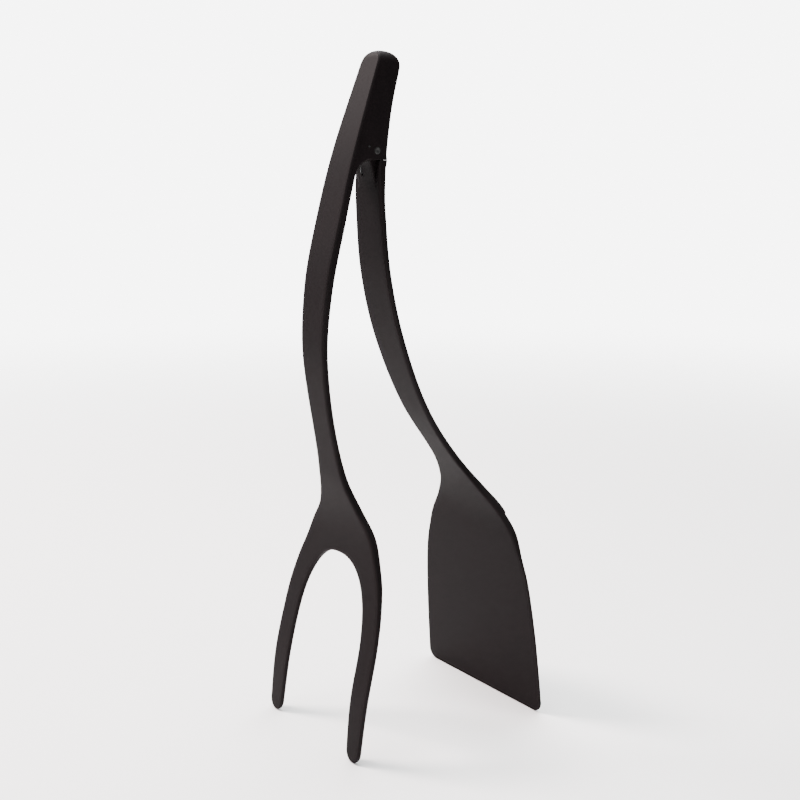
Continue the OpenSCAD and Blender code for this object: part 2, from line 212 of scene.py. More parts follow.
class Tongs:
    """Faces, thicknesses and half widths as smooth functions of height, in metres."""

    def __init__(self, s):
        hz, hx = HINGE.z, HINGE.x
        arm_h = hz - s.neck_h
        bow, neck = s.grip_bow, s.fork_neck_out
        self.sizes = s
        self.fork_face = [(z, hx - out) for z, out in (
            (0, FORK_OUT),
            (s.neck_h * 0.28, FORK_OUT - 3.4 * MM),
            (s.neck_h * 0.56, FORK_OUT - 9.2 * MM),
            (s.neck_h * 0.84, neck + 1.2 * MM),
            (s.neck_h * 1.04, neck),
            (s.neck_h + arm_h * 0.16, neck + 5 * MM),
            (s.neck_h + arm_h * 0.46, bow),
            (s.neck_h + arm_h * 0.65, bow - 1.6 * MM),
            (hz - 27 * MM, bow - 7.9 * MM),
            (hz, 11.2 * MM),
            (TOP, 11.2 * MM - 0.365 * (TOP - hz)))]
        self.fork_thick = [
            (0, s.tine_t),
            (s.crotch_h - 20 * MM, s.tine_t + 0.2 * MM),
            (s.neck_h, s.fork_root_t),
            (s.neck_h + 40 * MM, s.arm_t),
            (hz - 30 * MM, s.arm_t + 0.9 * MM),
            (TOP, s.arm_t + 0.3 * MM)]
        inner = BLADE_OUT - s.blade_t
        self.blade_face = [(z, hx + out) for z, out in (
            (0, inner),
            (s.neck_h * 0.44, inner - 3.5 * MM),
            (s.neck_h * 0.83, inner - 7.3 * MM),
            (s.neck_h, inner - 10.2 * MM),
            (s.neck_h + arm_h * 0.1, inner - 18.6 * MM),
            (s.neck_h + arm_h * 0.3, inner * 0.375),
            (s.neck_h + arm_h * 0.5, 10.4 * MM),
            (s.neck_h + arm_h * 0.68, 3.3 * MM),
            (hz - 22 * MM, 0.7 * MM),
            (hz - 8 * MM, 0.5 * MM),
            (hz + 6 * MM, 2.3 * MM))]
        self.blade_thick = [
            (0, s.blade_t),
            (s.neck_h * 0.75, s.blade_t + 0.3 * MM),
            (s.neck_h * 0.92, s.blade_root_t * 0.76),
            (s.neck_h * 1.06, s.blade_root_t * 0.78),
            (s.neck_h + 40 * MM, s.arm_t),
            (hz - 24 * MM, s.arm_t),
            (hz - 8 * MM, s.arm_t + 0.9 * MM),
            (TOP, s.arm_t + 0.9 * MM)]
        self.head_back = [(z, hx + out) for z, out in (
            (hz - 14 * MM, 3.75 * MM),
            (hz, 5.0 * MM),
            (hz + 17 * MM, 8.1 * MM),
            (TOP - 6 * MM, 12.9 * MM))]
        half, slim = s.fork_w / 2, s.neck_w / 2
        self.fork_half = [
            (0, half - 0.9 * MM),
            (s.neck_h * 0.38, half),
            (s.neck_h * 0.62, half - 1.3 * MM),
            (s.neck_h * 0.78, half - 5 * MM),
            (s.neck_h * 0.9, half - 10.2 * MM),
            (s.neck_h, (half + slim) / 2),
            (s.neck_h * 1.11, slim + 7.1 * MM),
            (s.neck_h * 1.25, slim + 1.9 * MM),
            (s.neck_h + arm_h * 0.28, slim),
            (s.neck_h + arm_h * 0.48, slim + 0.9 * MM),
            (s.neck_h + arm_h * 0.75, s.fork_grip_w / 2),
            (hz, HEAD_HALF),
            (hz + (TOP - hz) * 0.6, s.head_w / 2),
            (TOP, s.head_w / 2 - 0.9 * MM)]
        half = s.blade_w / 2
        self.blade_half = [
            (0, half),
            (s.neck_h * 0.22, half - 0.7 * MM),
            (s.neck_h * 0.44, half - 2 * MM),
            (s.neck_h * 0.67, half - 4.7 * MM),
            (s.neck_h * 0.8, half - 8.2 * MM),
            (s.neck_h * 0.91, half - 12.6 * MM),
            (s.neck_h * 1.02, (half + slim) / 2 - 3.2 * MM),
            (s.neck_h * 1.13, slim + 6 * MM),
            (s.neck_h * 1.28, slim + 0.5 * MM),
            (s.neck_h + arm_h * 0.32, slim + 1.3 * MM),
            (s.neck_h + arm_h * 0.51, s.blade_grip_w / 2 - 0.2 * MM),
            (s.neck_h + arm_h * 0.7, s.blade_grip_w / 2),
            (hz - 20 * MM, (s.blade_grip_w / 2 + HEAD_HALF) / 2 + 0.2 * MM),
            (hz, HEAD_HALF)]

    def fork_depth(self, y, z):
        """Thickness of the fork arm measured level, along X."""
        return curve(self.fork_thick, z) * math.hypot(1, lean(self.fork_face, z))

    def gap_half(self, z):
        """Half width of the gap between the tines, below its round top."""
        s = self.sizes
        taper = 1.5 * MM
        return s.tine_gap / 2 - taper + taper * (1 - z / (s.crotch_h * 0.45)) ** 2

    def step_reach(self, y, z):
        """Distance of a place outside the arched step on the blade's back."""
        return math.hypot(y, z - self.sizes.step_h + ARCH_DROP) - ARCH_R

    def blade_depth(self, y, z):
        """Thickness of the blade and its arm measured level, with the thick root beyond the arched step."""
        s = self.sizes
        thin = curve(self.blade_thick, z)
        root = min(s.blade_root_t, s.arm_t + (s.neck_h + 24 * MM - z) * 0.1)
        over = root - thin
        rounded = (over + math.hypot(over, 0.15 * MM)) / 2
        raised = rounded * smooth((self.step_reach(y, z) + 0.1 * MM) / MM)
        return (thin + raised) * math.hypot(1, lean(self.blade_face, z))

    def crown(self, z):
        """Half width of the head, rounded in towards its top."""
        r = 6 * MM
        into = max(0.0, z - (TOP - r))
        return curve(self.fork_half, min(z, TOP - r)) - r + math.sqrt(max(0.0, r * r - into * into))


# ---------- meshes ----------

ROUND_STEPS = 6
COLUMNS = 12


class Shell:
    """Collects the faces of one moulding; welding makes them one closed surface."""

    def __init__(self):
        self.bm = bmesh.new()

    def sheet(self, rows, closed=False):
        """Quads between rows of points."""
        grid = [[self.bm.verts.new(p) for p in row] for row in rows]
        if closed:
            grid.append(grid[0])
        for a, b in zip(grid, grid[1:]):
            for i in range(len(a) - 1):
                self.bm.faces.new((a[i], a[i + 1], b[i + 1], b[i]))

    def patch(self, points, triangles):
        verts = [self.bm.verts.new(p) for p in points]
        for t in triangles:
            self.bm.faces.new([verts[i] for i in t])

    def piece(self, name):
        bmesh.ops.remove_doubles(self.bm, verts=self.bm.verts, dist=0.004 * MM)
        bmesh.ops.dissolve_degenerate(self.bm, edges=self.bm.edges, dist=0.002 * MM)
        bmesh.ops.recalc_face_normals(self.bm, faces=self.bm.faces)
        open_edges = sum(1 for e in self.bm.edges if len(e.link_faces) != 2)
        if open_edges:
            places = [tuple(round(c / MM, 2) for c in e.verts[0].co) for e in self.bm.edges if len(e.link_faces) != 2]
            raise RuntimeError(f"{name} has {open_edges} open edges, near {places[:6]}")
        mesh = bpy.data.meshes.new(name)
        self.bm.to_mesh(mesh)
        self.bm.free()
        made = bpy.data.objects.new(name, mesh)
        bpy.context.scene.collection.objects.link(made)
        return made


def inside(loop, points):
    """Which points lie inside a closed loop."""
    a, b = loop, np.roll(loop, -1, axis=0)
    found = np.zeros(len(points), bool)
    for (x0, y0), (x1, y1) in zip(a, b):
        if y0 == y1:
            continue
        crosses = (points[:, 1] >= min(y0, y1)) & (points[:, 1] < max(y0, y1))
        found ^= crosses & (points[:, 0] < x0 + (points[:, 1] - y0) * (x1 - x0) / (y1 - y0))
    return found


def fill(loop, apart, extra=(), clear_of=None):
    """Points and triangles that cover the inside of a flat loop, with evenly spaced points inside it."""
    loop = np.array(loop) / MM
    apart = apart / MM
    low, high = loop.min(0), loop.max(0)
    rows = np.arange(low[1] + 0.45 * apart, high[1], apart * math.sqrt(0.75))
    grid = np.array([(x + (j % 2) * apart / 2, v) for j, v in enumerate(rows)
                     for x in np.arange(low[0], high[0], apart)]).reshape(-1, 2)
    if clear_of is not None:
        grid = grid[[not clear_of(x * MM, v * MM) for x, v in grid]]
    more = np.array(extra).reshape(-1, 2) / MM
    grid = np.vstack([grid, more])
    grid = grid[inside(loop, grid)]
    room = np.full(len(grid), np.inf)
    for p in loop:
        room = np.minimum(room, np.hypot(*(grid - p).T))
    grid = grid[room > 0.5 * apart]
    n = len(loop)
    edges = [(i, (i + 1) % n) for i in range(n)]
    points = [Vector(p) for p in np.vstack([loop, grid]).tolist()]
    verts, _, faces, _, _, _ = delaunay_2d_cdt(points, edges, [], 1, 1e-6)
    return [(v.x * MM, v.y * MM) for v in verts], faces


def round_steps():
    return [math.pi / 2 * i / ROUND_STEPS for i in range(ROUND_STEPS + 1)]


def front_plate(shell, half_path, face, depth, edge_r, apart, extra=(), clear_of=None):
    """A moulding seen from the front: its outline, rounded edges, and the two faces that its depth sets apart.
    The path runs down from the joint with the arm to the middle line, and its upper end stays open."""
    path = mirrored(half_path)
    normals = inward(path)
    normals[0], normals[-1] = Vector((-1, 0)), Vector((1, 0))
    rim, loop = [], []
    for (y, z), n in zip(path, normals):
        level = math.hypot(1, lean(face, z))
        r = min(edge_r, 0.46 * depth(y, z) / level)
        row = []
        for behind in (False, True):
            turns = round_steps()
            for a in (reversed(turns) if behind else turns):
                inset, deep = r * (1 - math.sin(a)), r * level * (1 - math.cos(a))
                py, pz = y + n.x * inset, z + n.y * inset
                x = curve(face, pz) + (depth(py, pz) - deep if behind else deep)
                row.append((x, py, pz))
        rim.append(row)
        loop.append((row[0][1], row[0][2]))
    shell.sheet(rim)
    wide = loop[0][0]
    across = [(-wide + 2 * wide * i / COLUMNS, loop[0][1]) for i in range(1, COLUMNS)]
    flat, triangles = fill(loop + across, apart, extra, clear_of)
    shell.patch([(curve(face, z), y, z) for y, z in flat], triangles)
    shell.patch([(curve(face, z) + depth(y, z), y, z) for y, z in flat], triangles)


def side_plate(shell, path, half, radii, apart, join=None):
    """A moulding seen from the side: a path in X and Z, spread along Y to a half width that varies with height.
    Where join is given, the path is open and both ends meet a front plate, level along X by that factor."""
    closed = join is None
    normals = inward(path, closed)
    if not closed:
        for i in range(4):
            share = smooth(1 - i / 4)
            normals[i] = normals[i].lerp(Vector((join, 0)), share)
            normals[-1 - i] = normals[-1 - i].lerp(Vector((-join, 0)), share)
    rows, sides, loop = [], [], []
    for (x, z), n, r in zip(path, normals, radii):
        flat = half(z) - r
        rows.append([(x, -flat + 2 * flat * i / COLUMNS, z) for i in range(COLUMNS + 1)])
        side = []
        for a in round_steps():
            px, pz = x + n.x * r * (1 - math.cos(a)), z + n.y * r * (1 - math.cos(a))
            side.append((px, half(pz) - r * (1 - math.sin(a)), pz))
        sides.append(side)
        loop.append((side[-1][0], side[-1][2]))
    shell.sheet(rows, closed)
    flat, triangles = fill(loop, apart)
    for way in (-1, 1):
        shell.sheet([[(x, way * y, z) for x, y, z in side] for side in sides], closed)
        shell.patch([(x, way * half(z), z) for x, z in flat], triangles)


def cylinder(name, x, z, r, low, high, n=64):
    """A plain round tool along Y, for cutting."""
    shell = Shell()
    ring = arc((x, z), r, 0, 360, n)
    shell.sheet([[(px, low, pz), (px, high, pz)] for px, pz in ring])
    for y in (low, high):
        shell.patch([(px, y, pz) for px, pz in ring[:-1]], [range(n)])
    return shell.piece(name)


def block(name, outline, low, high):
    """A plain tool along Y with the given outline in X and Z, for cutting."""
    shell = Shell()
    ring = outline + outline[:1]
    shell.sheet([[(px, low, pz), (px, high, pz)] for px, pz in ring])
    for y in (low, high):
        shell.patch([(px, y, pz) for px, pz in outline], [range(len(outline))])
    return shell.piece(name)


def settle(piece):
    """Replaces a piece's mesh with the result of its modifiers."""
    bpy.context.view_layer.update()
    evaluated = piece.evaluated_get(bpy.context.evaluated_depsgraph_get())
    mesh = bpy.data.meshes.new_from_object(evaluated)
    piece.modifiers.clear()
    piece.data = mesh
    mesh.name = piece.name


def combine(piece, tool, operation):
    """Joins a tool to a piece or cuts it away, and removes the tool."""
    modifier = piece.modifiers.new("shape", "BOOLEAN")
    modifier.operation = operation
    modifier.solver = "EXACT"
    modifier.object = tool
    settle(piece)
    bpy.data.objects.remove(tool)


def finish_surface(piece, material, sharp=38):
    """Smooth shading with sharp creases, an attribute that marks outer edges, and one material."""
    bm = bmesh.new()
    bm.from_mesh(piece.data)
    bmesh.ops.remove_doubles(bm, verts=bm.verts, dist=0.004 * MM)
    bmesh.ops.triangulate(bm, faces=[f for f in bm.faces if len(f.verts) > 4])
    bm.normal_update()
    for f in bm.faces:
        f.smooth = True
    for e in bm.edges:
        e.smooth = not (len(e.link_faces) == 2 and e.calc_face_angle(0) > math.radians(sharp))
    # Outward bend at each point; the nylon shader paints these edges lighter, partly as wear and partly as painted
    # highlight.
    layer = bm.verts.layers.float.new("edge_rub_and_highlight")
    for v in bm.verts:
        bends = [-2 * (e.other_vert(v).co - v.co).dot(v.normal) / max(e.calc_length(), 0.05 * MM) ** 2
                 for e in v.link_edges]
        v[layer] = min(1.0, max(0.0, sum(bends) / max(1, len(bends)) * 0.95 * MM))
    bm.to_mesh(piece.data)
    bm.free()
    piece.data.materials.clear()
    piece.data.materials.append(material)


# ---------- shaders ----------

class Wire:
    """Wraps a shader socket, so that maths on values reads as maths."""

    def __init__(self, paint, socket):
        self.paint = paint
        self.socket = socket

    def math(self, operation, *others):
        return self.paint.node("ShaderNodeMath", {"operation": operation}, [self, *others])

    def __add__(self, other):
        return self.math("ADD", other)

    __radd__ = __add__

    def __mul__(self, other):
        return self.math("MULTIPLY", other)

    __rmul__ = __mul__

    def __sub__(self, other):
        return self.math("SUBTRACT", other)

    def __rsub__(self, other):
        return self.paint.node("ShaderNodeMath", {"operation": "SUBTRACT"}, [other, self])

    def __truediv__(self, other):
        return self.math("DIVIDE", other)

    def __pow__(self, other):
        return self.math("POWER", other)

    def clamp(self):
        return self.math("MINIMUM", 1.0).math("MAXIMUM", 0.0)

    def band(self, low, high):
        """0 below low, 1 above high, and a straight ramp between."""
        return ((self - low) * (1 / (high - low))).clamp()


class Paint:
    """Builds one material's nodes."""

    def __init__(self, name):
        self.material = bpy.data.materials.new(name)
        self.material.use_nodes = True
        self.nodes = self.material.node_tree.nodes
        self.links = self.material.node_tree.links
        self.shader = self.nodes["Principled BSDF"]

    def node(self, kind, settings=None, inputs=None, output=0):
        """A node of a type, with its settings made first and then its sockets' values or links."""
        made = self.nodes.new(kind)
        for key, value in (settings or {}).items():
            setattr(made, key, value)
        items = enumerate(inputs) if isinstance(inputs, list) else (inputs or {}).items()
        for key, value in items:
            self.plug(made.inputs[key], value)
        return Wire(self, made.outputs[output])

    def plug(self, socket, value):
        if isinstance(value, Wire):
            self.links.new(value.socket, socket)
        else:
            socket.default_value = value

    def place(self, centre=(0, 0, 0), scale=(1, 1, 1)):
        """Object coordinates, centred and stretched."""
        spot = self.node("ShaderNodeTexCoord", output=3)
        spot = self.node("ShaderNodeVectorMath", {"operation": "SUBTRACT"}, [spot, centre])
        return self.node("ShaderNodeVectorMath", {"operation": "MULTIPLY"}, [spot, scale])

    def noise(self, spot, scale, detail=2.0, roughness=0.5):
        return self.node("ShaderNodeTexNoise", inputs={
            "Vector": spot, "Scale": scale, "Detail": detail, "Roughness": roughness})

    def mix(self, share, a, b):
        """A colour between two colours."""
        made = self.nodes.new("ShaderNodeMix")
        made.data_type = "RGBA"
        for socket, value in ((made.inputs[0], share), (made.inputs[6], a), (made.inputs[7], b)):
            self.plug(socket, value)
        return Wire(self, made.outputs[2])

    def bump(self, height, distance, strength=1.0, normal=None):
        inputs = {"Height": height, "Distance": distance, "Strength": strength}
        if normal is not None:
            inputs["Normal"] = normal
        return self.node("ShaderNodeBump", inputs=inputs)

    def set(self, **values):
        for key, value in values.items():
            self.plug(self.shader.inputs[key.replace("_", " ")], value)
        return self.material


def rgba(c, share=1.0):
    return (c[0] * share, c[1] * share, c[2] * share, 1.0)


def nylon_material(f):
    """Nylon from a spark-finished mould: fine grain, faint flow, and edges painted a little lighter, partly as rubbed
    wear and partly as painted highlight.
    """
    p = Paint("satin nylon")
    spot = p.place()
    grain = p.noise(spot, 2600, 2.0, 0.6)
    pebble = p.noise(spot, 900, 2.0, 0.5)
    cloud = p.noise(spot, 34, 3.0, 0.55)
    flow = p.noise(p.place(scale=(1.0, 1.0, 0.16)), 260, 3.0, 0.6)
    scuff = p.noise(p.place(scale=(1.0, 0.35, 0.05)), 1500, 2.0, 0.7).band(0.66, 0.76)
    patch = p.noise(spot, 70, 2.0, 0.5).band(0.5, 0.68)
    marks = scuff * patch
    edge_rub_and_highlight = p.node("ShaderNodeAttribute", {"attribute_name": "edge_rub_and_highlight"}, output=2)
    # Painted highlight and wear: rounded edges are painted lighter, as if rubbed and as if catching the light.
    edge_wear_and_highlight = (edge_rub_and_highlight.band(0.12, 0.6) * (0.35 + 0.9 * cloud)).clamp()
    tone = p.mix((cloud * 0.7 + flow * 0.3).band(0.3, 0.7), rgba(f.nylon, 0.84), rgba(f.nylon, 1.2))
    tone = p.mix(edge_wear_and_highlight * 0.5, tone, rgba(f.nylon_rub_and_highlight))
    tone = p.mix(marks * 0.35, tone, rgba(f.nylon_rub_and_highlight))
    rough = 0.45 + 0.10 * cloud + 0.06 * flow + 0.05 * grain + 0.10 * marks - 0.07 * edge_wear_and_highlight
    height = grain * 0.5 + pebble * 0.5
    normal = p.bump(height, 0.035 * MM, 0.55)
    normal = p.bump(flow, 0.05 * MM, 0.25, normal)
    return p.set(Base_Color=tone, Roughness=rough, Normal=normal, Specular_IOR_Level=0.03)


def steel_material(name, c, rough, centre, turned):
    """Dulled steel: turned rings about the hinge axis on the pin, or fine drawing lines on the wire."""
    p = Paint(name)
    spot = p.place(centre, (1.0, 0.0, 1.0))
    stain = p.noise(p.place(), 420, 3.0, 0.6)
    if turned:
        out = p.node("ShaderNodeVectorMath", {"operation": "LENGTH"}, [spot], output=1)
        fine = p.noise(p.node("ShaderNodeCombineXYZ", inputs=[out, 0.0, 0.0]), 9000, 2.0, 0.6)
    else:
        fine = p.noise(p.place(centre, (1.0, 0.12, 1.0)), 5200, 2.0, 0.7)
    tone = p.mix(stain.band(0.35, 0.7), rgba(c, 0.82), rgba(c, 1.08))
    level = rough + 0.12 * fine + 0.10 * stain
    return p.set(Base_Color=tone, Metallic=1.0, Roughness=level, Normal=p.bump(fine, 0.02 * MM, 0.4))


# ---------- pieces ----------

def sizes():
    return bpy.context.scene.tongs_sizes


def finishes():
    return bpy.context.scene.tongs_finishes


def nylon():
    return bpy.data.materials.get("satin nylon") or nylon_material(finishes())


def fork_path(t, z_join):
    """Half of the fork's outline: down the outer edge, round the tine tip, and up the gap to its middle."""
    s = t.sizes
    low = 4 * MM
    outer, gap = curve(t.fork_half, low), t.gap_half(low)
    tine_r, tine_y = (outer - gap) / 2, (outer + gap) / 2
    gap_low = s.crotch_h * 0.45
    gap_y, rise = t.gap_half(gap_low), s.crotch_h - gap_low
    full = 2 / 2.4                        # makes the round squarer than an ellipse
    path = [(curve(t.fork_half, z), z) for z in steps(z_join, tine_r * 1.15, 0.4 * MM)]
    path += arc((tine_y, tine_r), tine_r, -2, -178, 40)
    path += [(t.gap_half(z), z) for z in steps(tine_r * 1.15, gap_low, 0.4 * MM)]
    path += [(gap_y * math.cos(a) ** full, gap_low + rise * math.sin(a) ** full)
             for a in steps(0, math.pi / 2 - 0.002, 0.01)[1:]] + [(0.0, s.crotch_h)]
    return walk(path, lambda y, z: (0.7 if z < 2 * tine_r else 1.1) * MM)


def tangent_round(face, z, r, way):
    """Centre, tilt in degrees and touching height of a round against a leaning face.
    Its centre is at height z, beyond the face along X by way, which is 1 or -1."""
    touch, tilt = z, 0.0
    for _ in range(5):
        tilt = (face(touch + 0.5 * MM) - face(touch - 0.5 * MM)) / MM
        touch = z + way * r * tilt / math.hypot(1, tilt)
    return (face(touch) + way * r / math.hypot(1, tilt), z), math.degrees(math.atan(tilt)), touch


WEB_R = 9 * MM


def fork_inner(t, z):
    """Inner face of the fork arm and of the head's front wall."""
    return curve(t.fork_face, z) + t.fork_depth(0, z)


def web_round(t):
    """The round that runs from a cheek's lower edge into the front wall."""
    return tangent_round(lambda z: fork_inner(t, z), HINGE.z - t.sizes.cheek_drop - WEB_R, WEB_R, 1)


def head_path(t, z_join):
    """Side outline of the fork arm: up the outer face, round the head, and back down the inner face."""
    nose_r, top_r, heel_r = 4 * MM, 6 * MM, 0.12 * MM
    under = HINGE.z - t.sizes.cheek_drop
    nose, nose_tilt, nose_touch = tangent_round(lambda z: curve(t.fork_face, z), TOP - nose_r, nose_r, 1)
    crest, crest_tilt, crest_touch = tangent_round(lambda z: curve(t.head_back, z), TOP - top_r, top_r, -1)
    heel, heel_tilt, heel_touch = tangent_round(lambda z: curve(t.head_back, z), under + heel_r, heel_r, -1)
    web, web_tilt, web_touch = web_round(t)
    head_low = HINGE.z - 18 * MM
    path = [(curve(t.fork_face, z), z) for z in steps(z_join, head_low, 1.5 * MM)]
    path += [(curve(t.fork_face, z), z) for z in steps(head_low, nose_touch, 0.9 * MM)[1:]]
    path += arc(nose, nose_r, 180 - nose_tilt, 90, 8)[1:]
    path += [(x, TOP) for x in steps(nose[0], crest[0], 0.4 * MM)[1:-1]]
    path += arc(crest, top_r, 90, -crest_tilt, 18)
    path += [(curve(t.head_back, z), z) for z in steps(crest_touch, heel_touch, 0.9 * MM)[1:-1]]
    path += arc(heel, heel_r, -heel_tilt, -90, 8)
    path += [(x, under) for x in steps(heel[0], web[0], 0.6 * MM)[1:-1]]
    path += arc(web, WEB_R, 90, 180 - web_tilt, 20)
    path += [(fork_inner(t, z), z) for z in steps(web_touch, z_join, 1.5 * MM)[1:]]
    return path


def hollow(t):
    """The space between the cheeks, open below and behind the knuckle."""
    s = t.sizes
    back_t, heel = 2 * MM, 4.6 * MM
    low, top = web_round(t)[2] - 3 * MM, TOP - 8 * MM
    skin = 0.03 * MM
    path = [(fork_inner(t, z) + skin, z) for z in steps(low, top, 1.2 * MM)]
    path += [(x, top) for x in steps(path[-1][0], curve(t.head_back, top) - back_t, MM)[1:-1]]
    path += [(curve(t.head_back, z) - back_t, z) for z in steps(top, HINGE.z + heel, 1.2 * MM)]
    path += [(x, HINGE.z + heel) for x in steps(path[-1][0], HINGE.x + 14 * MM, MM)[1:]]
    path += [(HINGE.x + 14 * MM, z) for z in steps(HINGE.z + heel, low, 2 * MM)[1:]]
    path += [(x, low) for x in steps(HINGE.x + 14 * MM, path[0][0], 2 * MM)[1:-1]]
    shell = Shell()
    side_plate(shell, path, lambda z: curve(t.fork_half, z) - s.cheek_t, [0.5 * MM] * len(path), 2 * MM)
    return shell.piece("hollow")


HOOK_R = 4.2 * MM
HOOK_ANGLE = math.radians(158)


def make_fork_arm():
    s = sizes()
    t = Tongs(s)
    z_join = s.neck_h + (HINGE.z - s.neck_h) * 0.28
    shell = Shell()
    front_plate(shell, fork_path(t, z_join), t.fork_face, t.fork_depth, s.edge_r, 1.8 * MM)
    path = head_path(t, z_join)
    under = HINGE.z - s.cheek_drop
    crisp = CRISP_R - s.edge_r
    radii = [s.edge_r + crisp * smooth(1.5 - abs(z - under) / MM) * smooth((x - HINGE.x) / MM + 4)
             for x, z in path]
    side_plate(shell, path, t.crown, radii, MM, math.hypot(1, lean(t.fork_face, z_join)))
    arm = shell.piece("fork_arm_moulding")
    combine(arm, hollow(t), "DIFFERENCE")
    combine(arm, cylinder("bore", HINGE.x, HINGE.z, PIN_R, -CUT, CUT), "DIFFERENCE")
    hook = (HINGE.x + HOOK_R * math.cos(HOOK_ANGLE), HINGE.z + HOOK_R * math.sin(HOOK_ANGLE))
    combine(arm, cylinder("hook_hole", *hook, s.wire_d / 2 + 0.1 * MM, -CUT, 0, 32), "DIFFERENCE")
    finish_surface(arm, nylon())
    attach(arm, "fork_side")
    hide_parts("fork_arm")


def blade_path(t, z_join):
    """Half of the blade's outline: down the edge, round the lower corner, and along the straight edge."""
    s = t.sizes
    r = s.corner_r
    corner = (curve(t.blade_half, r / 2) - r, r)
    path = [(curve(t.blade_half, z), z) for z in steps(z_join, r * 1.1, 0.3 * MM)]
    path += arc(corner, r, -2, -90, 24)
    path += [(y, 0.0) for y in steps(corner[0], 0.0, 0.5 * MM)[1:]]

    def spacing(y, z):
        near_step = z > 20 * MM and abs(t.step_reach(y, z)) < 1.6 * MM
        return (0.22 if near_step else 0.7 if z < r else 1.2) * MM

    return walk(path, spacing)


def blade_outer(t, z):
    """Outer face of the blade arm, on its middle line."""
    return curve(t.blade_face, z) + t.blade_depth(0, z)


def arm_top_path(t, z_join):
    """Side outline of the blade arm: up the inner face, across the stop face, and down the outer face."""
    stop = HINGE.z - t.sizes.cheek_drop - STOP_GAP
    front_r, back_r = 0.8 * MM, 0.12 * MM
    front, front_tilt, low = tangent_round(lambda z: curve(t.blade_face, z), stop - front_r, front_r, 1)
    back, back_tilt, high = tangent_round(lambda z: blade_outer(t, z), stop - back_r, back_r, -1)
    path = [(curve(t.blade_face, z), z) for z in steps(z_join, low, 1.5 * MM)]
    path += arc(front, front_r, 180 - front_tilt, 90, 6)[1:]
    path += [(x, stop) for x in steps(front[0], back[0], 0.5 * MM)[1:-1]]
    path += arc(back, back_r, 90, -back_tilt, 6)
    path += [(blade_outer(t, z), z) for z in steps(high, z_join, 1.5 * MM)[1:]]
    return path


COIL_R = 2.2 * MM
EAR_R = 3.4 * MM
SEAT_Z = -9 * MM
HEEL_H = 4.2 * MM
KNUCKLE_LOW = -17.5 * MM
FLARE = [(-19 * MM, 1.2 * MM), (-15 * MM, 0.4 * MM), (-12 * MM, 0.0),
         (-6 * MM, -1.6 * MM), (-2.6 * MM, -3.1 * MM), (0.0, -EAR_R)]


def knuckle(t):
    """The middle of the hinge on the blade arm, between the cheeks."""
    s = t.sizes
    path = [(HINGE.x + curve(FLARE, z), HINGE.z + z) for z in steps(KNUCKLE_LOW, -0.6 * MM, 0.8 * MM)]
    path += arc((HINGE.x, HINGE.z), EAR_R, 178, 108, 14)
    path += [(HINGE.x + 0.2 * MM, HINGE.z + HEEL_H - 0.25 * MM), (HINGE.x + 0.9 * MM, HINGE.z + HEEL_H)]
    back = curve(t.head_back, HINGE.z + HEEL_H) - 0.1 * MM
    path += [(x, HINGE.z + HEEL_H) for x in steps(HINGE.x + 1.5 * MM, back - 0.6 * MM, 0.6 * MM)]
    path += arc((back - 0.6 * MM, HINGE.z + HEEL_H - 0.6 * MM), 0.6 * MM, 70, 0, 5)
    stop = HINGE.z - s.cheek_drop
    path += [(curve(t.head_back, z) - 0.1 * MM, z) for z in steps(HINGE.z + HEEL_H - 1.2 * MM, stop, 0.9 * MM)]
    low = HINGE.z + KNUCKLE_LOW
    path += [(blade_outer(t, z) - 0.2 * MM, z) for z in steps(stop - MM, low, 0.9 * MM)]
    path += [(x, low) for x in steps(path[-1][0], path[0][0], 0.8 * MM)[1:-1]]
    wide = HEAD_HALF - s.cheek_t - 0.25 * MM
    shell = Shell()
    side_plate(shell, path, lambda z: wide, [0.4 * MM] * len(path), 1.2 * MM)
    return shell.piece("knuckle")


def leg_seat(wire_d):
    """Where the pushing leg of the spring ends, from the hinge axis."""
    return Vector((curve(FLARE, SEAT_Z) - wire_d / 2 + 0.45 * MM, SEAT_Z))


def leg_start(wire_d):
    """Where the pushing leg leaves the coil, and the turn at that place."""
    seat = leg_seat(wire_d)
    turn = math.atan2(seat.y, seat.x) - math.acos(COIL_R / seat.length)
    return COIL_R * Vector((math.cos(turn), math.sin(turn))), turn


def coil_turn(wire_d, turns=5):
    """Start, sweep and half length of the coil."""
    start = HOOK_ANGLE + math.acos(COIL_R / HOOK_R)
    sweep = leg_start(wire_d)[1] - start + 2 * math.pi * turns
    return start, sweep, (wire_d + 0.08 * MM) * sweep / (4 * math.pi)


